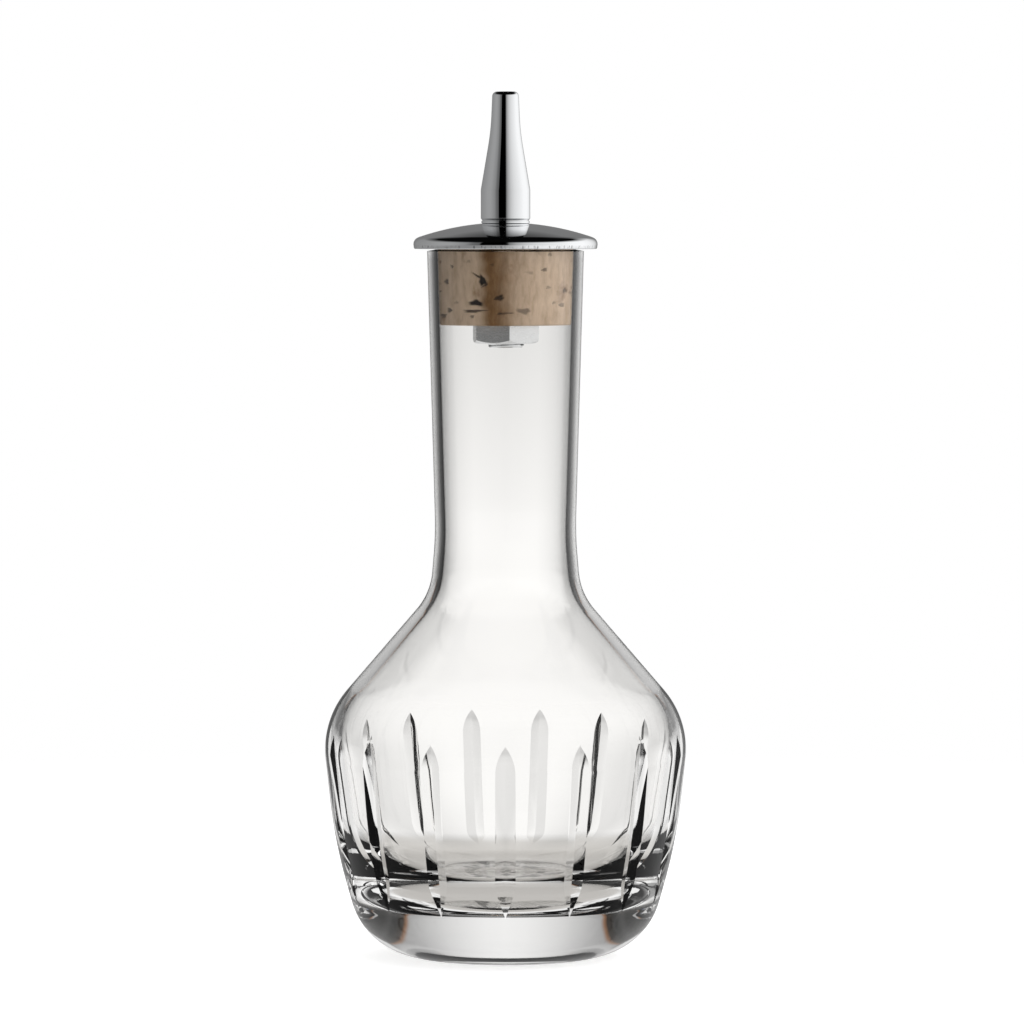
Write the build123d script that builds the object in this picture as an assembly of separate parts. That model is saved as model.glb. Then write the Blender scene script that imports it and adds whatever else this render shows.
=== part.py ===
# A cut-glass bitters bottle with a corked metal dasher top, in millimetres.
# +Z is up and the origin is the centre of the resting face. The front, where a cut is centred, faces -Y.
# The bottle is one piece of glass: a heavy foot, a round body with upright wheel-cut grooves,
# a conical shoulder and a long neck that opens slightly towards the mouth.
# The top is a stack on one axis: a turned spout and a domed cap sit on a hollow threaded stem,
# which runs down through the cork and is held from below by a thin hexagonal nut.
from build123d import *
import math
import os

# Outline of the glass: corners of the outer profile as radius and height, and the arcs that round them
foot_corner = (24.6, 0)
side_corner = (30.4, 20.25)
shoulder_corner = (32.7, 42.0)
neck_root = (13.35, 64.5)
neck_waist = (12.45, 75.0)
mouth = (13.9, 125.5)
foot_bend = 13.2
side_bend = 91.0
shoulder_bend = 16.0
neck_root_bend = 11.6
neck_waist_bend = 60.0
lip_rounding = 0.3

# Thickness of the glass, square to its surface, but level at the heel, where the cavity's floor and side meet
floor_wall = 10.1
heel_wall = 2.5
side_wall = 2.45
shoulder_wall = 1.95
neck_root_wall = 1.9
neck_wall = 1.8
cavity_floor_bend = 18.5

# Cut grooves: a V-edged wheel follows the side at an even depth, leaves it by running straight on
# where the shoulder turns in, and lifts out at the foot
groove_count = 15
groove_depth = 0.75
groove_half_angle = 68.7
groove_straight_height = 28.0
groove_foot_start_height = 15.0
groove_foot_tip_height = 9.6
groove_foot_bend = 30.0
groove_overrun = 1.0

# Cork
cork_length = 13.4
cork_clearance = 0.06
cork_edge_rounding = 0.3

# Domed cap, which stands just clear of the glass
cap_lift = 0.1
cap_radius = 16.3
cap_edge_height = 1.75
cap_dome_radius = 47.3
cap_dome_rise = 0.2
cap_edge_rounding = 1.25
cap_foot_rounding = 0.3

# Spout, measured up from the top of the cap
spout_length = 23.35
spout_root_radius = 4.37
spout_root_height = 6.0
spout_root_chamfer = 0.25
spout_root_bend = 1.5
spout_knee_radius = 2.62
spout_knee_height = 16.4
spout_knee_bend = 45.0
spout_tip_radius = 2.32
spout_tip_rounding = 0.85
spout_orifice_radius = 1.0
spout_funnel_height = 2.5

# Hollow stem and lock nut
stem_radius = 3.45
stem_bore_radius = 2.2
stem_clearance = 0.05
stem_socket_depth = 5.5
stem_end_chamfer = 0.6
stem_below_nut = 0.75
nut_sides = 6
nut_across_flats = 11.0
nut_height = 3.3
nut_turn = 6.4
nut_chamfer_angle = 30.0
nut_chamfer_share = 0.95

# Heights of the stack, from the mouth of the glass
bottle_height = mouth[1]
cap_foot = bottle_height + cap_lift
cap_dome_height = cap_dome_radius - math.sqrt(cap_dome_radius**2 - cap_radius**2)
cap_height = cap_edge_height + cap_dome_height - cap_dome_rise
cap_top = cap_foot + cap_height
cork_foot = cap_foot - cork_length
nut_foot = cork_foot - nut_height
stem_foot = nut_foot - stem_below_nut
stem_top = cap_top + stem_socket_depth
stem_hole_radius = stem_radius + stem_clearance
front = -90.0


def inset_corners(corners, walls):
    """Corners of the line that lies inside a run of corners, one wall thickness in from each stretch."""
    lines = []
    for (r0, z0), (r1, z1), wall in zip(corners, corners[1:], walls):
        length = math.hypot(r1 - r0, z1 - z0)
        run, rise = (r1 - r0) / length, (z1 - z0) / length
        lines.append((r0 - rise * wall, z0 + run * wall, run, rise))
    inner = []
    for (ra, za, run_a, rise_a), (rb, zb, run_b, rise_b) in zip(lines, lines[1:]):
        along = ((rb - ra) * rise_b - (zb - za) * run_b) / (run_a * rise_b - rise_a * run_b)
        inner.append((ra + along * run_a, za + along * rise_a))
    return inner


outer_corners = [(0, 0), foot_corner, side_corner, shoulder_corner, neck_root, neck_waist, mouth]
low_side_slope = (side_corner[0] - foot_corner[0]) / side_corner[1]
heel_corner = (foot_corner[0] + floor_wall * low_side_slope - heel_wall, floor_wall)
walls = [side_wall, shoulder_wall, neck_root_wall, neck_wall]
inner_corners = [heel_corner, *inset_corners(outer_corners[2:], walls)]
bore_waist = inner_corners[-1]
bore_slope = (mouth[0] - neck_waist[0]) / (mouth[1] - neck_waist[1])


def bore_radius_at(height):
    """Radius of the straight, slightly conical bore of the neck at a height."""
    return bore_waist[0] + (height - bore_waist[1]) * bore_slope


def turned(*edges):
    """A solid turned about the Z axis from the closed outline that the edges make in the XZ plane."""
    return revolve(Plane.XZ * make_face(Wire(edges)), Axis.Z)


def blank_outline():
    """Half of the upright section of the blank, before the cavity and the cuts."""
    bends = [foot_bend, side_bend, shoulder_bend, neck_root_bend, neck_waist_bend]
    side = FilletPolyline(*outer_corners, radius=bends)
    lid = Polyline(mouth, (0, bottle_height), (0, 0))
    return make_face(Wire([*side.edges(), *lid.edges()]))


def cavity():
    """The space inside the glass, from the floor up to the mouth."""
    bore_mouth = (bore_radius_at(bottle_height), bottle_height)
    bends = [
        cavity_floor_bend,
        shoulder_bend - shoulder_wall,
        neck_root_bend + neck_root_wall,
        neck_waist_bend + neck_wall,
    ]
    side = FilletPolyline((0, floor_wall), *inner_corners, bore_mouth, radius=bends)
    lid = Polyline(bore_mouth, (0, bottle_height), (0, floor_wall))
    return turned(*side.edges(), *lid.edges())


def side_radius_at(height):
    """Radius of the finished side, bends included, at a height between the foot and the neck."""
    rung = Line((0, height), (2 * shoulder_corner[0], height))
    return (blank_outline() & rung).bounding_box().max.X


def groove_cutter():
    """What the wheel takes out for the groove at +X: a V carried from above the top tip to below the foot tip."""
    middle_height = (groove_straight_height + groove_foot_start_height) / 2
    heights = [groove_straight_height, middle_height, groove_foot_start_height]
    run = [(side_radius_at(height) - groove_depth, height) for height in heights]
    follow = ThreePointArc(*run)
    climb = shoulder_corner[1] + groove_overrun - groove_straight_height
    lead_in = Line(follow @ 0 - follow % 0 * climb, follow @ 0)
    foot_tip = (side_radius_at(groove_foot_tip_height), groove_foot_tip_height)
    lead_out = Line(run[-1], beyond(run[-1], foot_tip))
    path = Wire([lead_in.edge(), follow.edge(), lead_out.edge()])
    path = path.fillet_2d(groove_foot_bend, [path.vertices().sort_by_distance(run[-1])[0]])
    path = Plane.XZ * path
    reach = groove_depth + groove_overrun
    half_width = reach * math.tan(math.radians(groove_half_angle))
    across = Plane(origin=path @ 0, x_dir=(0, 1, 0), z_dir=path % 0)
    section = across * make_face(Polyline((0, 0), (half_width, reach), (-half_width, reach), close=True))
    return sweep(section, path)


def beyond(inside, tip):
    """A point past a groove's tip, far enough for the V to be clear of the glass."""
    length = math.hypot(tip[0] - inside[0], tip[1] - inside[1])
    stretch = 1 + groove_overrun * 2 / length
    return inside[0] + (tip[0] - inside[0]) * stretch, inside[1] + (tip[1] - inside[1]) * stretch


def glass_bottle():
    """The bottle: the blank, hollowed, rounded at the mouth and cut all round."""
    hollow = revolve(Plane.XZ * blank_outline(), Axis.Z) - cavity()
    lip = hollow.faces().sort_by(Axis.Z)[-1].edges()
    bottle = fillet(lip, lip_rounding)
    cutter = groove_cutter()
    for index in range(groove_count):
        bottle = bottle - Rot(0, 0, front + index * 360 / groove_count) * cutter
    return bottle


def cork_stopper():
    """A slightly conical cork that follows the bore, with a hole for the stem."""
    top_radius = bore_radius_at(cap_foot) - cork_clearance
    foot_radius = bore_radius_at(cork_foot) - cork_clearance
    outline = Polyline(
        (stem_hole_radius, cork_foot),
        (foot_radius, cork_foot),
        (top_radius, cap_foot),
        (stem_hole_radius, cap_foot),
        close=True,
    )
    cork = turned(*outline.edges())
    rims = [edge for edge in cork.edges().filter_by(GeomType.CIRCLE) if edge.radius > 2 * stem_hole_radius]
    return fillet(rims, cork_edge_rounding)


def cap_disc():
    """The domed cap: flat below, a rounded edge, and a shallow dome with a flat seat for the spout."""
    blank = Pos(0, 0, cap_foot + cap_height / 2) * Cylinder(cap_radius, cap_height)
    dome_centre = cap_top + cap_dome_rise - cap_dome_radius
    disc = blank & Pos(0, 0, dome_centre) * Sphere(cap_dome_radius)
    dome = disc.faces().filter_by(GeomType.SPHERE)[0]
    rim = dome.edges().filter_by(lambda edge: edge.is_closed).sort_by(SortBy.LENGTH)[-1]
    disc = fillet(rim, cap_edge_rounding)
    disc = fillet(disc.edges().group_by(Axis.Z)[0], cap_foot_rounding)
    return disc - Pos(0, 0, cap_foot + cap_height / 2) * Cylinder(stem_hole_radius, cap_height)


def dasher_spout():
    """The turned spout: a short cylinder, a cone and a near-cylindrical tip, bored for the stem and the drops."""
    tip = cap_top + spout_length
    socket_top = stem_top + stem_clearance
    outside = FilletPolyline(
        (spout_root_radius, cap_top + spout_root_chamfer),
        (spout_root_radius, cap_top + spout_root_height),
        (spout_knee_radius, cap_top + spout_knee_height),
        (spout_tip_radius, tip),
        (spout_orifice_radius, tip),
        radius=[spout_root_bend, spout_knee_bend, spout_tip_rounding],
    )
    inside = Polyline(
        (spout_orifice_radius, tip),
        (spout_orifice_radius, socket_top + spout_funnel_height),
        (stem_hole_radius, socket_top),
        (stem_hole_radius, cap_top),
        (spout_root_radius - spout_root_chamfer, cap_top),
        (spout_root_radius, cap_top + spout_root_chamfer),
    )
    return turned(*outside.edges(), *inside.edges())


def threaded_stem():
    """The hollow stem that carries the spout, cap and cork and takes the nut."""
    outline = Polyline(
        (stem_bore_radius, stem_foot),
        (stem_radius - stem_end_chamfer, stem_foot),
        (stem_radius, stem_foot + stem_end_chamfer),
        (stem_radius, stem_top),
        (stem_bore_radius, stem_top),
        close=True,
    )
    return turned(*outline.edges())


def lock_nut():
    """The thin hexagonal nut under the cork, chamfered on its lower corners."""
    corner_radius = nut_across_flats / 2 / math.cos(math.pi / nut_sides)
    hexagon = RegularPolygon(corner_radius, nut_sides) - Circle(stem_hole_radius)
    blank = Pos(0, 0, nut_foot) * extrude(hexagon, nut_height)
    face_radius = nut_chamfer_share * nut_across_flats / 2
    rise = (corner_radius - face_radius) * math.tan(math.radians(nut_chamfer_angle))
    cone = Polyline(
        (0, nut_foot),
        (face_radius, nut_foot),
        (corner_radius, nut_foot + rise),
        (corner_radius, cork_foot),
        (0, cork_foot),
        close=True,
    )
    return Rot(0, 0, front + nut_turn) * (blank & turned(*cone.edges()))


pieces = {
    "glass_bottle": glass_bottle,
    "cork_stopper": cork_stopper,
    "cap_disc": cap_disc,
    "dasher_spout": dasher_spout,
    "threaded_stem": threaded_stem,
    "lock_nut": lock_nut,
}

os.makedirs("parts", exist_ok=True)
for name, make in pieces.items():
    export_step(make(), f"parts/{name}.step")
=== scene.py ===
import math

import bpy
import numpy as np
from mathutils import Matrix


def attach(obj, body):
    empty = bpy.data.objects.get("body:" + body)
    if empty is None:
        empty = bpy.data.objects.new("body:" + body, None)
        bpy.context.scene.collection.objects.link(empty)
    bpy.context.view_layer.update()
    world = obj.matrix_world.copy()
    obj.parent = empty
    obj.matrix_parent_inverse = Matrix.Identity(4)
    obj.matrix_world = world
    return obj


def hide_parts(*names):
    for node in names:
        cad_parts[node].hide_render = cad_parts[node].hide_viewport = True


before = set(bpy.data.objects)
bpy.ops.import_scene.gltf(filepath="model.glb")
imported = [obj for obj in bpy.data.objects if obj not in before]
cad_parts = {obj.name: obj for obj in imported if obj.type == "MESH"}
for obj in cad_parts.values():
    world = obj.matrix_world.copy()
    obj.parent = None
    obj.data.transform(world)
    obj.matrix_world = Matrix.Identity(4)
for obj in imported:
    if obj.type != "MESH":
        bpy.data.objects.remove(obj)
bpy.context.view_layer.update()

mm = 0.001
fullTurn = 2 * math.pi
frontBearing = -90  # degrees from the X axis to the front
arcPoints = 90  # points on a rounded corner, before the rows are spread
samePlace = 1e-7  # millimetres under which two points of a profile are one
leastRadius = 1.0  # keeps a share of the radius finite near the axis

# In the dictionaries of the pieces lengths are in millimetres and angles in degrees. "rows" is the longest
# step and the largest turn from one row to the next, and "columns" is how many points go round.
# A profile is an array of (radius, height) points, and a surface is an array of rows of points.


# the line through the corners, with each inner corner replaced by an arc of its own bend radius
def roundedLine(corners, bends):
    points = [np.array(corners[0], float)]
    for before, corner, after, bend in zip(corners, corners[1:], corners[2:], bends):
        before, corner, after = (np.array(place, float) for place in (before, corner, after))
        toBefore = (before - corner) / np.linalg.norm(before - corner)
        toAfter = (after - corner) / np.linalg.norm(after - corner)
        half = math.acos(np.clip(toBefore @ toAfter, -1, 1)) / 2
        middle = (toBefore + toAfter) / np.linalg.norm(toBefore + toAfter)
        centre = corner + middle * bend / math.sin(half)
        start = corner + toBefore * bend / math.tan(half)
        end = corner + toAfter * bend / math.tan(half)
        first = math.atan2(*(start - centre)[::-1])
        swing = (math.atan2(*(end - centre)[::-1]) - first + math.pi) % fullTurn - math.pi
        angles = first + swing * np.linspace(0, 1, arcPoints)
        points.extend(centre + bend * np.stack([np.cos(angles), np.sin(angles)], 1))
    points.append(np.array(corners[-1], float))
    return np.array(points)


# the same line with rows no further apart than the step, and with no more than the turn between two of them
def evenRows(profile, step, turn):
    lengths = np.linalg.norm(np.diff(profile, axis=0), axis=1)
    profile = profile[np.concatenate([[True], lengths > samePlace])]
    pieces = np.diff(profile, axis=0)
    lengths = np.linalg.norm(pieces, axis=1)
    heading = np.unwrap(np.arctan2(pieces[:, 1], pieces[:, 0]))
    bending = np.abs(np.gradient(heading)) / math.radians(turn)
    cost = np.concatenate([[0], np.cumsum(lengths / step + bending)])
    rows = np.linspace(0, cost[-1], int(math.ceil(cost[-1])) + 1)
    return np.stack([np.interp(rows, cost, profile[:, k]) for k in (0, 1)], 1)


# corners of the line that runs one wall thickness inside a run of corners
def insetCorners(corners, walls):
    start, end = np.array(corners[:-1], float), np.array(corners[1:], float)
    run = (end - start) / np.linalg.norm(end - start, axis=1)[:, None]
    start = start + np.stack([-run[:, 1], run[:, 0]], 1) * np.array(walls)[:, None]
    inner = []
    for (p, u), (q, v) in zip(zip(start, run), zip(start[1:], run[1:])):
        along = ((q[0] - p[0]) * v[1] - (q[1] - p[1]) * v[0]) / (u[0] * v[1] - u[1] * v[0])
        inner.append(tuple(p + along * u))
    return inner


# rows of points of a profile turned about the Z axis
def turned(profile, columns):
    around = np.linspace(0, fullTurn, columns, endpoint=False)
    radius, height = profile[:, 0][:, None], profile[:, 1][:, None]
    return np.stack([radius * np.cos(around), radius * np.sin(around), height + 0 * around], 2)


# the smaller of two values, with a soft change over from one to the other
def softMin(a, b, blend):
    share = np.clip(0.5 + 0.5 * (b - a) / blend, 0, 1)
    return b + (a - b) * share - blend * share * (1 - share)


# 0 under the low value, 1 over the high one, and a smooth rise between them
def smoothStep(low, high, value):
    share = np.clip((value - low) / (high - low), 0, 1)
    return share * share * (3 - 2 * share)


# A closed mesh from rows that run round the axis: each row joins the next, and the last row joins the first,
# or the two end rows close on a point of their own. Each extra array is kept as a value of every point.
def addSurface(name, rows, poles=False, **values):
    count, columns = rows.shape[:2]
    points = rows.reshape(-1, 3)
    below = np.arange(count - 1 if poles else count)[:, None] * columns
    above = (below + columns) % (count * columns)
    here, there = np.arange(columns), (np.arange(columns) + 1) % columns
    quads = np.stack([below + here, below + there, above + there, above + here], 2).reshape(-1, 4)
    corners, sizes = quads.ravel(), np.full(len(quads), 4)
    if poles:
        first, last, top = len(points), len(points) + 1, (count - 1) * columns
        points = np.concatenate([points, rows[:1].mean(1), rows[-1:].mean(1)])
        firstFan = np.stack([np.full(columns, first), there, here], 1)
        lastFan = np.stack([np.full(columns, last), top + here, top + there], 1)
        corners = np.concatenate([corners, firstFan.ravel(), lastFan.ravel()])
        sizes = np.concatenate([sizes, np.full(2 * columns, 3)])
    mesh = bpy.data.meshes.new(name)
    mesh.vertices.add(len(points))
    mesh.vertices.foreach_set("co", (points * mm).ravel())
    mesh.loops.add(len(corners))
    mesh.loops.foreach_set("vertex_index", corners.astype(np.int32))
    mesh.polygons.add(len(sizes))
    mesh.polygons.foreach_set("loop_start", (np.cumsum(sizes) - sizes).astype(np.int32))
    mesh.update(calc_edges=True)
    mesh.polygons.foreach_set("use_smooth", np.ones(len(sizes), bool))
    mesh.validate()
    for key, value in values.items():
        layer = mesh.attributes.new(key, "FLOAT", "POINT")
        layer.data.foreach_set("value", value.ravel().astype(np.float32))
    piece = bpy.data.objects.new(name, mesh)
    bpy.context.collection.objects.link(piece)
    return piece


# the body that a piece rides on, the solid that it stands in for, and its finish, which is not used
def place(piece, body, node, slot):
    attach(piece, body)
    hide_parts(node)
    print(piece.name, len(piece.data.polygons), "faces")


# Bottle. Its profile runs up the outside, over the lip and down the cavity to the floor.

glass = {
    "corners": [(24.6, 0), (30.4, 20.25), (32.7, 42.0), (13.35, 64.5), (12.45, 75.0)],
    "bends": [13.2, 91.0, 16.0, 11.6, 60.0],
    "mouth": (13.9, 125.5),
    "walls": [2.45, 1.95, 1.9, 1.8],
    "floor": 10.1,
    "heelWall": 2.5,
    "floorBend": 18.5,
    "lipRounding": 0.3,
    "skinGap": 0.006,
    "poleRadius": 0.4,
    "rows": (2.0, 4.0),
    "sharpAngle": 12.0,
}
grooves = {
    "count": 15,
    "depth": 0.75,
    "halfAngle": 68.7,
    "straightHeight": 28.0,
    "footStart": 15.0,
    "footTip": 9.6,
    "slopeSpan": 1.0,
    "footBlend": 0.1,
    # how the tips are found and drawn
    "searchPast": 2.0,
    "searchSteps": 400,
    "tipReach": 5.0,
    "topTipRows": 32,
    "footTipRows": 16,
    "rowGap": 0.06,
    # angles in radians at which a groove has closed, and shares of the V and the land that get a column
    "leastEdge": 0.004,
    "edgeHair": 1e-9,
    "vShares": [0, 0.33, 0.66, 1.0],
    "landSteps": 8,
}


# bore radius at a height: the neck's cavity runs level with the neck's outside
def boreRadius(height):
    waist = insetCorners([*glass["corners"][1:], glass["mouth"]], glass["walls"])[-1]
    start, mouth = glass["corners"][-1], glass["mouth"]
    return waist[0] + (height - waist[1]) * (mouth[0] - start[0]) / (mouth[1] - start[1])


def bottleProfile():
    mouth, floor = glass["mouth"], glass["floor"]
    foot, side = glass["corners"][:2]
    heelRadius = foot[0] + (side[0] - foot[0]) * floor / side[1] - glass["heelWall"]
    inner = [(heelRadius, floor), *insetCorners([*glass["corners"][1:], mouth], glass["walls"])]
    # inside the shoulder the arc is smaller by the wall, and inside the neck's two bends it is larger
    turns = zip(glass["bends"][2:], glass["walls"][1:], (-1, 1, 1))
    innerBends = [bend + wall * sign for bend, wall, sign in turns]
    boreMouth = (boreRadius(mouth[1]), mouth[1])
    pole = glass["poleRadius"]
    corners = [(pole, 0), *glass["corners"], mouth, boreMouth, *inner[::-1], (pole, floor)]
    lip = glass["lipRounding"]
    bends = [*glass["bends"], lip, lip, *innerBends[::-1], glass["floorBend"]]
    return evenRows(roundedLine(corners, bends), *glass["rows"])


# Depth of a groove at a height: the grinding wheel runs straight on above one height and leaves where the
# shoulder turns in, follows the side below that height, and lifts out in a straight line down to the foot
# tip.
def grooveDepth(height, outerRadius):
    depth, straight = grooves["depth"], grooves["straightHeight"]
    start, tip = grooves["footStart"], grooves["footTip"]
    side = outerRadius(height)
    span = grooves["slopeSpan"]
    slope = (outerRadius(straight + span) - outerRadius(straight - span)) / (2 * span)
    above = side - (outerRadius(straight) - depth + slope * (height - straight))
    low, lowest = outerRadius(start) - depth, outerRadius(tip)
    below = side - (low + (lowest - low) * (height - start) / (tip - start))
    deep = np.where(height > straight, above, depth)
    blended = softMin(below, deep, grooves["footBlend"])
    deep = np.where(height < (straight + start) / 2, blended, deep)
    return np.maximum(deep, 0)


# Where grooves run, the section at a height is a circle with a V taken out of each sector: at an angle a from
# the V's middle it lies at (R - d) / (cos a - k sin a), for the circle's radius R, the depth d, and k the
# cotangent of the V's half angle. Its edge, where it meets the circle, is at the angle
# acos((1 - d / R) / hypot(1, k)) - atan k.
def bottleRows():
    profile = bottleProfile()
    lastOutside = int(np.argmax(profile[:, 1]))
    outside = roundedLine([(0, 0), *glass["corners"], glass["mouth"]], glass["bends"])

    def outerRadius(height):
        return np.interp(height, outside[2:, 1], outside[2:, 0])

    # more rows where a groove begins and ends, so that its tips come out pointed
    footTip, reach = grooves["footTip"], grooves["tipReach"]
    highest = glass["corners"][2][1] + grooves["searchPast"]
    search = np.linspace(grooves["straightHeight"], highest, grooves["searchSteps"])
    topTip = search[np.argmax(grooveDepth(search, outerRadius) <= 0)]
    nearTop = np.linspace(topTip - reach, topTip, grooves["topTipRows"])
    nearFoot = np.linspace(footTip, footTip + reach, grooves["footTipRows"])
    extra = np.concatenate([nearTop, nearFoot])
    grooved = np.concatenate([profile[: lastOutside + 1], np.stack([outerRadius(extra), extra], 1)])
    grooved = grooved[np.argsort(grooved[:, 1], kind="stable")]
    gaps = np.concatenate([[1], np.linalg.norm(np.diff(grooved, axis=0), axis=1)])
    grooved = grooved[gaps > grooves["rowGap"]]
    profile = np.concatenate([grooved, profile[lastOutside + 1 :]])

    # the outside stays a hair within the solid's, whose flat facets lie inside its true circle
    isOutside = np.arange(len(profile)) < len(grooved)
    radius, height = profile[:, 0] - glass["skinGap"] * isOutside, profile[:, 1]
    depth = grooveDepth(height, outerRadius)
    cut = isOutside & (height > footTip) & (height < topTip) & (depth > 0)
    depth = np.where(cut, depth, 0)
    k = 1 / math.tan(math.radians(grooves["halfAngle"]))
    slant = (1 - depth / np.maximum(radius, leastRadius)) / math.hypot(1, k)
    edge = np.arccos(np.clip(slant, -1, 1)) - math.atan(k)
    edge = np.maximum(edge, grooves["leastEdge"])[:, None]
    sector = math.pi / grooves["count"]
    land = edge + (sector - edge) * np.linspace(0, 1, grooves["landSteps"])[1:]
    half = np.concatenate([edge * np.array(grooves["vShares"]), land], 1)
    across = np.concatenate([-half[:, :0:-1], half[:, :-1]], 1)
    away = np.abs(across)
    vRadius = (radius - depth)[:, None] / (np.cos(away) - k * np.sin(away))
    inGroove = (away < edge - grooves["edgeHair"]) & cut[:, None]
    sectorRadius = np.where(inGroove, vRadius, radius[:, None])
    middles = math.radians(frontBearing) + np.arange(grooves["count"]) * 2 * sector
    around = (middles[None, :, None] + across[:, None, :]).reshape(len(profile), -1)
    radii = np.tile(sectorRadius, (1, grooves["count"]))
    return np.stack([radii * np.cos(around), radii * np.sin(around), height[:, None] + 0 * around], 2)


bottlePiece = addSurface("bottle_glass", bottleRows(), poles=True)
bottlePiece.data.set_sharp_from_angle(angle=math.radians(glass["sharpAngle"]))
place(bottlePiece, "bottle", "glass_bottle", "clear_glass")


# Cork. A ring that follows the tapered bore, with pores pressed into its side. A pore is an ellipse whose
# edge wanders: a point is in it where (2 u / width)^2 + (2 v / height)^2, times a ripple of its direction, is
# under about 1, and the pore fades over a range about that.

cork = {
    "foot": 112.2,
    "top": 125.6,
    "clearance": 0.06,
    "hole": 3.5,
    "edge": 0.3,
    "holeEdge": 0.1,
    "seamRadii": (7, 6.9),
    "sideFrom": 8,
    "sideRows": (0.16, 15),
    "endRows": (1.6, 40),
    "columns": 720,
    "poreDepth": 0.22,
    "poreFade": (0.45, 1.5),
    "poreRadii": (9, 10),
    "poreMargin": 0.4,
    "rippleDepths": (0.3, 0.2),
    # a painted shade band down the front: its bearing and its spread to the left and to the right
    "stainLine": -13.0,
    "stainSpread": (7.5, 21.0),
    # swing in degrees, rate by height and shift of each wave of the painted shade band
    "stainWaver": [(1.2, 0.9, 0), (0.8, 2.3, 1)],
}
# the pores of the back and sides: how many, and the ranges that they are drawn from
scattered = {
    "seed": 11,
    "count": 150,
    "bearing": (62, 298),
    "endMargin": 0.7,
    "width": (0.5, 1.3),
    "stretch": [1, 1, 1, 2.2],
    "height": (0.3, 0.9),
    "dark": (0.3, 1.0),
    "tilt": (-20, 20),
}
# bearing from the front, height, width, height of the pore, how dark, tilt
corkPores = [
    (-48, 122.6, 0.8, 0.45, 0.75, -25),
    (-55, 119.9, 1.1, 0.9, 0.75, 0),
    (-19, 120.1, 1.2, 1.7, 1.0, 12),
    (-22, 120.8, 2.4, 0.35, 0.9, -28),
    (-17, 119.3, 1.3, 0.3, 0.8, 30),
    (-31, 123.5, 0.7, 0.5, 0.35, 0),
    (-25, 116.2, 2.5, 0.95, 1.0, -4),
    (-44, 116.3, 1.0, 0.5, 0.35, 0),
    (-27, 114.8, 3.7, 0.5, 0.85, 3),
    (-52, 114.9, 1.1, 0.8, 0.75, 0),
    (-5, 117.1, 1.6, 0.8, 0.85, 8),
    (-1, 114.4, 2.5, 0.28, 0.8, 2),
    (15, 114.8, 2.3, 0.9, 0.6, -4),
    (33, 122.0, 1.0, 0.6, 0.65, 10),
    (38, 124.7, 0.8, 0.5, 0.4, 0),
    (37, 118.9, 0.9, 0.5, 0.4, 0),
    (56, 118.3, 1.2, 0.8, 0.6, 0),
    (52, 115.8, 1.2, 0.7, 0.6, 0),
    (43, 116.2, 0.8, 0.4, 0.4, 0),
    (20, 121.5, 1.4, 0.5, 0.3, -12),
    (-28.5, 113.8, 0.7, 0.5, 0.6, 0),
    (-11, 122.9, 0.8, 0.4, 0.4, 0),
]


def scatteredPores():
    chance = np.random.default_rng(scattered["seed"])
    count, margin = scattered["count"], scattered["endMargin"]
    bearing = chance.uniform(*scattered["bearing"], count)
    height = chance.uniform(cork["foot"] + margin, cork["top"] - margin, count)
    width = chance.uniform(*scattered["width"], count) * chance.choice(scattered["stretch"], count)
    tall = chance.uniform(*scattered["height"], count)
    dark = chance.uniform(*scattered["dark"], count)
    tilt = chance.uniform(*scattered["tilt"], count)
    return np.stack([bearing, height, width, tall, dark, tilt], 1)


def corkSurface():
    footRadius = boreRadius(cork["foot"]) - cork["clearance"]
    topRadius = boreRadius(cork["top"]) - cork["clearance"]
    seamStart, seamEnd = cork["seamRadii"]
    corners = [
        (seamStart, cork["foot"]),
        (footRadius, cork["foot"]),
        (topRadius, cork["top"]),
        (cork["hole"], cork["top"]),
        (cork["hole"], cork["foot"]),
        (seamEnd, cork["foot"]),
    ]
    line = roundedLine(corners, [cork["edge"], cork["edge"], cork["holeEdge"], cork["holeEdge"]])
    side = (line[:, 0] > cork["sideFrom"]) & (line[:, 1] < cork["top"])
    upperHalf = line[:, 1] > (cork["foot"] + cork["top"]) / 2
    ends = evenRows(line[np.argmax(~side & upperHalf) :], *cork["endRows"])
    profile = np.concatenate([line[:1], evenRows(line[side], *cork["sideRows"]), ends])
    rows = turned(profile, cork["columns"])
    bearing = (np.degrees(np.arctan2(rows[..., 1], rows[..., 0])) - frontBearing + 180) % 360 - 180
    radius, height = profile[:, 0][:, None], rows[..., 2]

    threefold, fivefold = cork["rippleDepths"]
    pore = np.zeros_like(bearing)
    for degrees, middle, width, tall, dark, tilt in [*corkPores, *scatteredPores()]:
        u = radius * np.radians((bearing - degrees + 180) % 360 - 180)
        v = height - middle
        turn = math.radians(tilt)
        u, v = u * math.cos(turn) + v * math.sin(turn), v * math.cos(turn) - u * math.sin(turn)
        u, v = 2 * u / width, 2 * v / tall
        direction = np.arctan2(v, u)
        threes, fives = np.sin(3 * direction + degrees), np.sin(5 * direction + 3 * middle)
        ripple = 1 + threefold * threes + fivefold * fives
        pore = np.maximum(pore, dark * (1 - smoothStep(*cork["poreFade"], (u * u + v * v) * ripple)))
    fromFoot, fromTop, margin = height - cork["foot"], cork["top"] - height, cork["poreMargin"]
    onSide = smoothStep(*cork["poreRadii"], radius)
    onSide = onSide * smoothStep(0, margin, fromFoot) * smoothStep(0, margin, fromTop)
    pore = pore * onSide
    rows[..., :2] *= (1 - pore * cork["poreDepth"] / np.maximum(radius, leastRadius))[..., None]

    # a painted shade, a darker amber band, runs down the front with a slight waver, steeper on its left
    aside = bearing - cork["stainLine"]
    for swing, rate, shift in cork["stainWaver"]:
        aside = aside - swing * np.sin(height * rate + shift)
    spread = np.where(aside < 0, cork["stainSpread"][0], cork["stainSpread"][1])
    stain = np.exp(-((aside / spread) ** 2))
    return rows, pore, stain


# the cork's points carry its pores and the painted shade band
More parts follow.
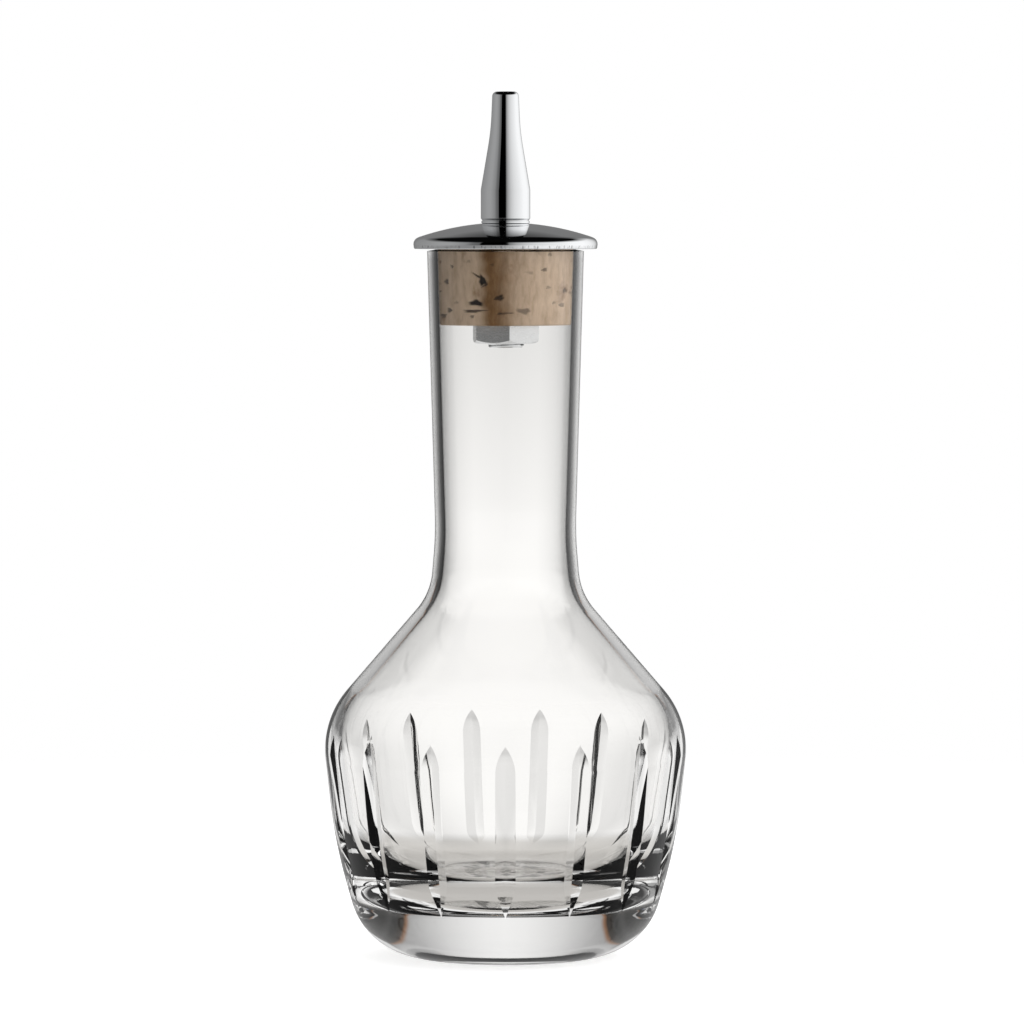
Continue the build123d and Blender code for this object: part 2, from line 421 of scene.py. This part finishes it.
corkRows, corkPore, corkPaintedShade = corkSurface()
corkPiece = addSurface("cork_plug", corkRows, pore=corkPore, stain=corkPaintedShade)
place(corkPiece, "cork", "cork_stopper", "cork")


# Cap. A flat underside, a rim that draws in a little to its foot, a rounded edge, and a dome of one large
# radius with a flat seat for the spout.

cap = {
    "foot": 125.6,
    "radius": 16.3,
    "footRounding": 0.25,
    "undercut": 0.1,
    "undercutHeight": 0.75,
    "edge": 1.25,
    "domeRadius": 47.3,
    "domeRise": 0.2,
    "seat": 130.047,
    "hole": 3.5,
    "seamRadii": (8, 7.9),
    "undercutBend": 0.6,
    "holeEdge": 0.05,
    # the dome starts a hair inside the rim, and its rounded edge reaches over no more than some of its steps
    "domeInset": 0.004,
    "domeSteps": 60,
    "edgeSteps": 16,
    "joinGap": 0.05,
    "rows": (0.7, 5),
    "columns": 288,
}


def capRows():
    foot, radius, seat = cap["foot"], cap["radius"], cap["seat"]
    domeCentre = seat + cap["domeRise"] - cap["domeRadius"]
    seatAngle = math.acos((seat - domeCentre) / cap["domeRadius"])
    rimAngle = math.asin((radius - cap["domeInset"]) / cap["domeRadius"])
    angle = np.linspace(rimAngle, seatAngle, cap["domeSteps"])
    dome = np.stack([cap["domeRadius"] * np.sin(angle), domeCentre + cap["domeRadius"] * np.cos(angle)], 1)
    seamStart, seamEnd = cap["seamRadii"]
    corners = [
        (seamStart, foot),
        (radius - cap["undercut"], foot),
        (radius, foot + cap["undercutHeight"]),
        tuple(dome[0]),
        tuple(dome[cap["edgeSteps"]]),
    ]
    edge = roundedLine(corners, [cap["footRounding"], cap["undercutBend"], cap["edge"]])[:-1]
    dome = dome[dome[:, 0] < edge[-1, 0] - cap["joinGap"]]
    hole, holeEdge = cap["hole"], cap["holeEdge"]
    hub = roundedLine([tuple(dome[-1]), (hole, seat), (hole, foot), (seamEnd, foot)], [holeEdge, holeEdge])
    return turned(evenRows(np.concatenate([edge, dome[:-1], hub]), *cap["rows"]), cap["columns"])


capPiece = addSurface("cap_dome", capRows())
place(capPiece, "dasher_top", "cap_disc", "polished_metal")


# Spout. A low collar and a fine seam at its foot, a short cylinder, a cone and a near cylindrical tip, bored
# through.

spout = {
    "base": 130.047,
    "collarRadius": 4.27,
    "collarTop": 0.5,
    "seamRadius": 4.1,
    "seamTop": 0.62,
    "shoulderTop": 0.9,
    "corners": [(4.37, 6.0), (2.62, 16.4), (2.32, 23.35)],
    "bends": [1.5, 45.0, 0.85],
    "orifice": 1.0,
    "throat": [(1.0, 8.0), (3.5, 5.5), (3.5, 0)],
    "footInsets": (0.15, 0.16),
    "footRise": 0.1,
    "seamStep": 0.04,
    "collarBends": [0.05, 0.08, 0.01, 0.02, 0.25],
    "boreBends": [0.25, 0.3, 0.1, 0.05],
    "rows": (0.6, 7),
    "columns": 192,
}


def spoutRows():
    base, seam, collar = spout["base"], spout["seamRadius"], spout["collarRadius"]
    startInset, endInset = spout["footInsets"]
    outside = [(radius, base + rise) for radius, rise in spout["corners"]]
    inside = [(radius, base + rise) for radius, rise in spout["throat"]]
    corners = [
        (collar - startInset, base),
        (collar, base + spout["footRise"]),
        (collar, base + spout["collarTop"]),
        (seam, base + spout["collarTop"] + spout["seamStep"]),
        (seam, base + spout["seamTop"]),
        (outside[0][0], base + spout["shoulderTop"]),
        *outside,
        (spout["orifice"], outside[-1][1]),
        *inside,
        (collar - endInset, base),
    ]
    bends = [*spout["collarBends"], *spout["bends"], *spout["boreBends"]]
    return turned(evenRows(roundedLine(corners, bends), *spout["rows"]), spout["columns"])


spoutPiece = addSurface("spout_tube", spoutRows())
place(spoutPiece, "dasher_top", "dasher_spout", "polished_metal")


# Stem. A hollow tube with a screw thread: its radius falls and rises with the height less the turn times the
# pitch.

stem = {
    "foot": 108.15,
    "top": 135.5,
    "radius": 3.44,
    "bore": 2.2,
    "chamfer": 0.6,
    "footInsets": (0.64, 0.69),
    "bends": [0.1, 0.1, 0.1, 0.1, 0.15],
    "pitch": 0.8,
    "threadDepth": 0.38,
    # the thread grows from one radius over a further width, and starts this far above the foot
    "threadRadius": 2.9,
    "threadGrowth": 0.5,
    "threadRise": 0.15,
    "rows": (0.12, 15),
    "columns": 96,
}


def stemRows():
    foot, radius, bore, columns = stem["foot"], stem["radius"], stem["bore"], stem["columns"]
    startInset, endInset = stem["footInsets"]
    corners = [
        (radius - startInset, foot),
        (radius - stem["chamfer"], foot),
        (radius, foot + stem["chamfer"]),
        (radius, stem["top"]),
        (bore, stem["top"]),
        (bore, foot),
        (radius - endInset, foot),
    ]
    profile = evenRows(roundedLine(corners, stem["bends"]), *stem["rows"])
    rows = turned(profile, columns)
    radii, height = profile[:, 0][:, None], profile[:, 1][:, None]
    phase = (height - foot) / stem["pitch"] - np.linspace(0, 1, columns, endpoint=False)
    valley = np.abs((phase % 1) * 2 - 1) * stem["threadDepth"]
    reach = np.clip((radii - stem["threadRadius"]) / stem["threadGrowth"], 0, 1)
    reach = reach * (height > foot + stem["threadRise"])
    rows[..., :2] *= (1 - valley * reach / radii)[..., None]
    return rows


stemPiece = addSurface("stem_tube", stemRows())
place(stemPiece, "dasher_top", "threaded_stem", "turned_steel")


# Nut. Its side stands at half the width across flats over the cosine from the flat's middle, and its lower
# chamfer is a cone, so the side ends lower on the flats than on the corners.

nut = {
    "foot": 108.9,
    "height": 3.3,
    "acrossFlats": 11.0,
    "hole": 3.5,
    "turn": 6.4,
    "faceShare": 0.95,
    "chamfer": 30.0,
    "columns": 180,
    "endRows": 5,
    "chamferRows": 6,
    "sideRows": 8,
    "sharpAngle": 15.0,
}


def nutRows():
    columns = nut["columns"]
    low, high, hole = nut["foot"], nut["foot"] + nut["height"], nut["hole"]
    around = np.linspace(0, fullTurn, columns, endpoint=False)
    side = nut["acrossFlats"] / 2 / np.cos(around % (math.pi / 3) - math.pi / 6)
    face = nut["acrossFlats"] / 2 * nut["faceShare"]
    rise = (side - face) * math.tan(math.radians(nut["chamfer"]))
    level = np.ones(columns)
    ends, cone, flank = (np.linspace(0, 1, nut[key]) for key in ("endRows", "chamferRows", "sideRows"))
    rows = [((hole + (face - hole) * share) * level, low * level) for share in ends]
    rows += [(face + (side - face) * share, low + rise * share) for share in cone[1:]]
    rows += [(side, low + rise + (high - low - rise) * share) for share in flank[1:]]
    rows += [(side + (hole - side) * share, high * level) for share in ends[1:]]
    rows += [(hole * level, (high + (low - high) * share) * level) for share in ends[1:-1]]
    turn = math.radians(frontBearing + nut["turn"]) + around
    x, y = np.cos(turn), np.sin(turn)
    return np.array([np.stack([radius * x, radius * y, height], 1) for radius, height in rows])


nutPiece = addSurface("hex_nut", nutRows())
nutPiece.data.set_sharp_from_angle(angle=math.radians(nut["sharpAngle"]))
place(nutPiece, "dasher_top", "lock_nut", "turned_steel")


# Materials. In their dictionaries a pattern is the stretch of its place, the scale, and where they are set
# the detail and the roughness of the noise. Heights are in metres here.

def newMaterial(name):
    material = bpy.data.materials.new(name)
    material.use_nodes = True
    return material, material.node_tree, material.node_tree.nodes["Principled BSDF"]


# a node with its properties set, or its inputs where no property has the name, from numbers or other nodes
def node(tree, kind, *inputs, **values):
    made = tree.nodes.new(kind)
    for key, value in values.items():
        if hasattr(made, key):
            setattr(made, key, value)
        else:
            feed(tree, made.inputs[key.replace("_", " ")], value)
    for socket, value in zip(made.inputs, inputs):
        feed(tree, socket, value)
    return made.outputs[0]


def feed(tree, socket, value):
    if isinstance(value, bpy.types.NodeSocket):
        tree.links.new(value, socket)
    elif socket.type == "RGBA" and isinstance(value, (int, float)):
        socket.default_value = (value, value, value, 1)
    elif socket.type == "RGBA":
        socket.default_value = (*value, 1)
    else:
        socket.default_value = value


def ramp(tree, value, stops):
    made = tree.nodes.new("ShaderNodeValToRGB")
    elements = made.color_ramp.elements
    while len(elements) < len(stops):
        elements.new(0.5)
    for element, (position, colour) in zip(elements, stops):
        element.position = position
        element.color = (*colour, 1) if isinstance(colour, tuple) else (colour, colour, colour, 1)
    tree.links.new(value, made.inputs[0])
    return made.outputs[0]


def mix(tree, factor, low, high, blend="MIX"):
    made = tree.nodes.new("ShaderNodeMix")
    made.data_type = "RGBA"
    made.blend_type = blend
    for socket, value in ((0, factor), (6, low), (7, high)):
        feed(tree, made.inputs[socket], value)
    return made.outputs[2]


# one step of arithmetic on numbers or on other nodes
def calc(tree, operation, *values):
    return node(tree, "ShaderNodeMath", *values, operation=operation)


def objectPlace(tree, stretch=(1, 1, 1)):
    source = tree.nodes.new("ShaderNodeTexCoord").outputs["Object"]
    return node(tree, "ShaderNodeMapping", source, Scale=stretch)


def noise(tree, stretch, scale, detail=4.0, roughness=0.5):
    vector = objectPlace(tree, stretch)
    return node(tree, "ShaderNodeTexNoise", Vector=vector, Scale=scale, Detail=detail, Roughness=roughness)


def attribute(tree, name):
    made = tree.nodes.new("ShaderNodeAttribute")
    made.attribute_name = name
    return made.outputs["Fac"]


def bump(tree, shader, height, distance):
    made = node(tree, "ShaderNodeBump", Strength=1.0, Distance=distance, Height=height)
    tree.links.new(made, shader.inputs["Normal"])


glassFinish = {
    "ior": 1.52,
    "tint": (1.0, 0.995, 0.985),
    "glossShare": 0.35,
    "waves": ((1, 1, 0.4), 130.0, 1.0),
    "waveHeight": 0.000012,
}


# mould-blown glass, clear through, its surface a little uneven over a few millimetres
def clearGlass():
    material, tree, shader = newMaterial("clear_glass")
    shader.inputs["Base Color"].default_value = (*glassFinish["tint"], 1)
    share = glassFinish["glossShare"]
    shader.inputs["Specular Tint"].default_value = (share, share, share, 1)
    shader.inputs["Transmission Weight"].default_value = 1
    shader.inputs["Roughness"].default_value = 0
    shader.inputs["IOR"].default_value = glassFinish["ior"]
    bump(tree, shader, noise(tree, *glassFinish["waves"]), glassFinish["waveHeight"])
    return material


corkFinish = {
    "grain": ((1, 1, 0.3), 900.0, 6.0, 0.65),
    "cells": ((1, 1, 0.8), 260.0, 3.0, 0.6),
    "pale": [(0.25, (0.47, 0.33, 0.21)), (0.5, (0.65, 0.49, 0.35)), (0.75, (0.77, 0.6, 0.45))],
    # the darker colours of the painted shade band
    "shadeAmber": [(0.25, (0.12, 0.057, 0.02)), (0.5, (0.2, 0.105, 0.04)), (0.75, (0.32, 0.18, 0.08))],
    "flecks": [(0.6, 1.0), (0.72, (0.62, 0.55, 0.5))],
    "poreColour": (0.022, 0.014, 0.01),
    "roughness": 0.85,
    "grainHeight": 0.00006,
}


# cork: pale grain with darker flecks, a painted shade as a brown band down the front, and dark pores
def corkSkin():
    material, tree, shader = newMaterial("cork_skin")
    grain = noise(tree, *corkFinish["grain"])
    cells = noise(tree, *corkFinish["cells"])
    pale = ramp(tree, grain, corkFinish["pale"])
    shadeAmber = ramp(tree, grain, corkFinish["shadeAmber"])
    # the painted shade band darkens the grain down the front
    skin = mix(tree, attribute(tree, "stain"), pale, shadeAmber)
    skin = mix(tree, 1.0, skin, ramp(tree, cells, corkFinish["flecks"]), "MULTIPLY")
    skin = mix(tree, attribute(tree, "pore"), skin, corkFinish["poreColour"])
    tree.links.new(skin, shader.inputs["Base Color"])
    shader.inputs["Roughness"].default_value = corkFinish["roughness"]
    bump(tree, shader, grain, corkFinish["grainHeight"])
    return material


chrome = {
    "colour": (0.86, 0.87, 0.88),
    "marks": ((1, 1, 1), 900.0),
    "roughness": [(0.3, 0.02), (0.8, 0.06)],
    # the heights above the rim's foot at which its marks come and go, in metres times the scale,
    # and their look
    "rimScale": 400.0,
    "onRim": [(0.03, 0.0), (0.08, 1.0), (0.2, 1.0), (0.3, 0.0)],
    "streaks": ((1, 1, 0.3), 1900.0, 3.0, 0.7),
    "streakShare": [(0.52, 0.0), (0.68, 1.0)],
    "streakColour": (0.38, 0.38, 0.39),
}


# bright plated metal with fine wiping marks, and on the cap's rim the short upright marks of its turning
def brightMetal(name, rimFoot=None):
    material, tree, shader = newMaterial(name)
    shader.inputs["Metallic"].default_value = 1
    marks = noise(tree, *chrome["marks"])
    tree.links.new(ramp(tree, marks, chrome["roughness"]), shader.inputs["Roughness"])
    shader.inputs["Base Color"].default_value = (*chrome["colour"], 1)
    if rimFoot is not None:
        split = tree.nodes.new("ShaderNodeSeparateXYZ")
        tree.links.new(objectPlace(tree), split.inputs[0])
        scale = chrome["rimScale"]
        rise = calc(tree, "MULTIPLY_ADD", split.outputs[2], scale, -scale * rimFoot)
        streaks = ramp(tree, noise(tree, *chrome["streaks"]), chrome["streakShare"])
        marked = calc(tree, "MULTIPLY", ramp(tree, rise, chrome["onRim"]), streaks)
        skin = mix(tree, marked, chrome["colour"], chrome["streakColour"])
        tree.links.new(skin, shader.inputs["Base Color"])
    return material


latheSteel = {
    "colour": (0.77, 0.78, 0.79),
    "rings": ((0.15, 0.15, 1), 2500.0),
    "roughness": [(0.3, 0.24), (0.7, 0.28)],
}


# plain steel off the lathe, with fine rings round the axis
def turnedSteel():
    material, tree, shader = newMaterial("turned_steel")
    shader.inputs["Metallic"].default_value = 1
    rings = noise(tree, *latheSteel["rings"])
    shader.inputs["Base Color"].default_value = (*latheSteel["colour"], 1)
    tree.links.new(ramp(tree, rings, latheSteel["roughness"]), shader.inputs["Roughness"])
    return material


steel = turnedSteel()
finishes = {
    bottlePiece: clearGlass(),
    corkPiece: corkSkin(),
    capPiece: brightMetal("cap_chrome", cap["foot"] * mm),
    spoutPiece: brightMetal("spout_chrome"),
    stemPiece: steel,
    nutPiece: steel,
}
for piece, material in finishes.items():
    piece.data.materials.append(material)
print("materials", len(finishes))


# Studio. Lengths are in metres here. The surroundings differ for what is seen directly, through glass and in
# gloss, so that each shows its own pale and dark parts, all fixed in the room.

studio = {
    "floorRadius": 0.55,
    "floorSides": 128,
    "floorDrop": 0.0002,
    "floorTone": 0.9,
    "floorGlow": 0.55,
    "fadeOut": (0.2, 0.4),
    # tone of the floor through glass, by distance from the axis: a painted shadow, darker under and near the
    # bottle
    "floorPaintedShadowThrough": [
        (0.029, (0.52, 0.505, 0.485)), (0.036, (0.67, 0.655, 0.635)), (0.048, (0.71, 0.70, 0.685)),
        (0.058, 0.87), (0.068, 1.0),
    ],
    # the same by bearing from the nearest panel, painted shade that darkens some bearings, and the distance
    # over which the bearing comes to count
    "floorPaintedShadeAside": [(0, 1.0), (4, 1.0), (8, 0.9), (12, 0.82), (18, 0.79), (21, 0.86), (25, 0.96), (45, 0.94)],
    "asideFrom": [(0.032, 0.0), (0.048, 1.0)],
    # tone of the floor in gloss, from left to right: painted light, brighter to the right
    "floorPaintedLightInGloss": [(-0.3, 0.3), (0.0, 0.5), (0.3, 0.95)],
    # through one thickness of glass, by bearing from the panel behind to the panel at the side
    "panels": [
        (0, 1.0), (5, 0.99), (10, 0.93), (15, 0.80), (21, 0.62), (27, 0.44), (31, 0.34),
        (34.5, (0.30, 0.19, 0.11)), (37.5, (0.17, 0.08, 0.04)), (41, 0.05), (45, 0.02),
        (57, (0.02, 0.02, 0.03)), (59.5, (0.2, 0.25, 0.4)), (62, 0.42), (69, 0.64), (76, 0.85), (90, 1.0),
    ],
    # the same for rays that the glass has reflected inside, below and above the horizon, and the elevations
    # over which one gives way to the other
    "turnedLevel": [
        (0, 1.0), (8, 0.86), (13, 0.66), (17, 0.5), (21, 0.37), (25, 0.24), (30, 0.15), (34, 0.08),
        (41, 0.04), (45, 0.02), (90, 0.02),
    ],
    "turnedRaised": [
        (0, 0.93), (5, 0.9), (10, 0.82), (15.5, 0.71), (19, 0.62), (22, 0.55), (25, 0.465), (28, 0.37),
        (29.2, (0.24, 0.12, 0.06)), (30.2, (0.02, 0.012, 0.006)), (33, 0.01), (36, 0.05), (39, 0.02),
        (90, 0.02),
    ],
    "raisedFrom": [(0, 0.0), (1, 1.0)],
    # through both walls, by bearing from the nearest panel, and how far below the horizon the bearing counts
    "wide": [(0, 1.0), (4, 0.99), (8, 0.9), (12, 0.82), (20, 0.64), (28, 0.44), (34, 0.42), (45, 0.55)],
    "wideLevels": [(-12, 0.0), (-8, 1.0)],
    # through glass, by elevation
    "belt": [
        (-14, 1.03), (-5.5, 1.03), (-3.2, 0.99), (-1.3, 0.81), (1, 0.84), (3.5, 0.95), (48, 0.95), (60, 0.5),
        (90, 0.4),
    ],
    # in gloss, by bearing: 0 is behind, 90 the right side and 180 the front
    "boxes": [
        (-180, 0.0), (-149, 0.0), (-147, 0.12), (-138, 0.15), (-128, 0.27), (-106, 0.36), (-88, 0.36),
        (-66, 0.32), (-32, 0.28), (-12, 0.2), (12, 0.2), (29, 0.75), (45, 1.0), (64, 1.1), (87, 1.08),
        (106, 0.97), (122, 0.89), (137, 0.8), (152, 0.65), (166, 0.42), (175, 0.2), (177.5, 0.02), (180, 0.0),
    ],
    # the same below the horizon, where the table stands in for the dark front
    "table": [
        (-180, 0.36), (-165, 0.3), (-140, 0.26), (-45, 0.28), (0, 0.3), (40, 0.9), (120, 0.97), (150, 0.85),
        (165, 0.62), (180, 0.36),
    ],
    "tableEdge": [(-12, 0.0), (-7, 1.0)],
    # inside the glass a reflection sees the panels behind, and the soft boxes elsewhere
    "behind": [(64, 1.0), (76, 0.0)],
    # in gloss, by elevation: how much of the dark ceiling shows
    "ceiling": [(25, 0.0), (41, 1.0)],
    "ceilingTone": 0.002,
    # light on matt surfaces, more from the right
    "softSlope": 0.95,
    # a ray that has crossed more surfaces than this has passed both walls, and one over the next has bounced
    "crossings": 3.5,
    "bounced": 0.5,
}


def addFloor():
    bpy.ops.mesh.primitive_circle_add(
        vertices=studio["floorSides"],
        radius=studio["floorRadius"],
        fill_type="TRIFAN",
        location=(0, 0, -studio["floorDrop"]),
    )
    floor = bpy.context.object
    floor.name = "floor"
    material, tree, shader = newMaterial("pale_floor")
    tone, glow = studio["floorTone"], studio["floorGlow"]
    shader.inputs["Base Color"].default_value = (tone, tone, tone, 1)
    shader.inputs["Roughness"].default_value = 1
    shader.inputs["Specular IOR Level"].default_value = 0
    shader.inputs["Emission Color"].default_value = (glow, glow, glow, 1)
    spot = objectPlace(tree)
    lengthNode = tree.nodes.new("ShaderNodeVectorMath")
    lengthNode.operation = "LENGTH"
    tree.links.new(spot, lengthNode.inputs[0])
    reach = lengthNode.outputs["Value"]
    path = tree.nodes.new("ShaderNodeLightPath").outputs
    tree.links.new(path["Is Camera Ray"], shader.inputs["Emission Strength"])

    # a ramp runs from 0 to 1, so a place to the left or right is moved up by a half
    splitSpot = tree.nodes.new("ShaderNodeSeparateXYZ")
    tree.links.new(spot, splitSpot.inputs[0])
    sideways = calc(tree, "ADD", splitSpot.outputs[0], 0.5)
    # the floor in gloss glows with painted light, brighter to the right
    paintedGlossLight = ramp(tree, sideways, [(0.5 + x, level) for x, level in studio["floorPaintedLightInGloss"]])
    # painted shade on the floor through glass, by bearing from the nearest panel
    bearing = calc(tree, "ARCTAN2", splitSpot.outputs[0], splitSpot.outputs[1])
    aside = calc(tree, "MULTIPLY", calc(tree, "PINGPONG", bearing, math.pi / 4), 4 / math.pi)
    aside = ramp(tree, aside, [(degrees / 45, level) for degrees, level in studio["floorPaintedShadeAside"]])
    aside = mix(tree, ramp(tree, reach, studio["asideFrom"]), 1.0, aside)
    # the floor through glass glows with a painted shadow near the axis and painted shade at some bearings
    through = mix(tree, 1.0, ramp(tree, reach, studio["floorPaintedShadowThrough"]), aside, "MULTIPLY")
    seen = node(tree, "ShaderNodeEmission", mix(tree, path["Is Transmission Ray"], paintedGlossLight, through))
    indirect = calc(tree, "MAXIMUM", path["Is Transmission Ray"], path["Is Glossy Ray"])
    lit = node(tree, "ShaderNodeMixShader", indirect, shader.outputs[0], seen)
    fade = ramp(tree, reach, list(zip(studio["fadeOut"], (0.0, 1.0))))
    faded = node(tree, "ShaderNodeMixShader", fade, lit, node(tree, "ShaderNodeBsdfTransparent"))
    tree.links.new(faded, tree.nodes["Material Output"].inputs[0])
    floor.data.materials.append(material)


def addSurroundings():
    world = bpy.data.worlds.new("studio")
    bpy.context.scene.world = world
    world.use_nodes = True
    tree = world.node_tree
    split = tree.nodes.new("ShaderNodeSeparateXYZ")
    tree.links.new(tree.nodes.new("ShaderNodeTexCoord").outputs["Generated"], split.inputs[0])
    x, y, z = split.outputs
    bearing = calc(tree, "ARCTAN2", x, y)
    lift = calc(tree, "MULTIPLY_ADD", z, 0.5, 0.5)

    # a ramp by elevation: its places are half the sine of the elevation plus a half, as the lift is
    def byElevation(stops):
        places = [(0.5 + 0.5 * math.sin(math.radians(degrees)), level) for degrees, level in stops]
        return ramp(tree, lift, places)

    quarter = calc(tree, "MULTIPLY", calc(tree, "PINGPONG", bearing, math.pi / 2), 2 / math.pi)
    panels = ramp(tree, quarter, [(degrees / 90, level) for degrees, level in studio["panels"]])
    turnedLevel = ramp(tree, quarter, [(degrees / 90, level) for degrees, level in studio["turnedLevel"]])
    turnedRaised = ramp(tree, quarter, [(degrees / 90, level) for degrees, level in studio["turnedRaised"]])
    turnedBack = mix(tree, byElevation(studio["raisedFrom"]), turnedLevel, turnedRaised)
    eighth = calc(tree, "MULTIPLY", calc(tree, "PINGPONG", bearing, math.pi / 4), 4 / math.pi)
    wide = ramp(tree, eighth, [(degrees / 45, level) for degrees, level in studio["wide"]])
    wide = mix(tree, byElevation(studio["wideLevels"]), 1.0, wide)
    turn = calc(tree, "MULTIPLY_ADD", bearing, 1 / fullTurn, 0.5)
    boxes = ramp(tree, turn, [(0.5 + degrees / 360, level) for degrees, level in studio["boxes"]])
    table = ramp(tree, turn, [(0.5 + degrees / 360, level) for degrees, level in studio["table"]])
    gloss = mix(tree, byElevation(studio["tableEdge"]), table, boxes)
    gloss = mix(tree, byElevation(studio["ceiling"]), gloss, studio["ceilingTone"])
    soft = calc(tree, "MULTIPLY_ADD", x, studio["softSlope"], 1.0)

    path = tree.nodes.new("ShaderNodeLightPath").outputs
    belt = byElevation(studio["belt"])
    panels = mix(tree, 1.0, panels, belt, "MULTIPLY")
    wide = mix(tree, 1.0, wide, belt, "MULTIPLY")
    fromBehind = calc(tree, "ABSOLUTE", calc(tree, "MULTIPLY", bearing, 1 / math.pi))
    behind = ramp(tree, fromBehind, [(degrees / 180, level) for degrees, level in studio["behind"]])
    bothWalls = calc(tree, "GREATER_THAN", path["Transmission Depth"], studio["crossings"])
    through = mix(tree, bothWalls, panels, wide)
    turnedBack = mix(tree, 1.0, turnedBack, belt, "MULTIPLY")
    reflected = calc(tree, "GREATER_THAN", path["Glossy Depth"], studio["bounced"])
    through = mix(tree, reflected, through, mix(tree, behind, gloss, turnedBack))
    light = mix(tree, path["Is Transmission Ray"], gloss, through)
    onMatt = calc(tree, "GREATER_THAN", path["Diffuse Depth"], studio["bounced"])
    light = mix(tree, onMatt, light, soft)
    light = mix(tree, path["Is Camera Ray"], light, 1.0)
    tree.links.new(light, tree.nodes["Background"].inputs["Color"])


view = {
    "focalLength": 214.2,
    "sensorWidth": 36,
    "nearest": 0.01,
    "place": (0.00115, -1.08, 0.13317),
    "lookDown": 2.875,
}


def addCamera():
    lens = bpy.data.cameras.new("camera")
    lens.lens = view["focalLength"]
    lens.sensor_width = view["sensorWidth"]
    lens.clip_start = view["nearest"]
    camera = bpy.data.objects.new("camera", lens)
    bpy.context.collection.objects.link(camera)
    camera.location = view["place"]
    camera.rotation_euler = (math.radians(90 - view["lookDown"]), 0, 0)
    bpy.context.scene.camera = camera


addFloor()
addSurroundings()
addCamera()
bpy.context.scene.view_settings.view_transform = "Standard"
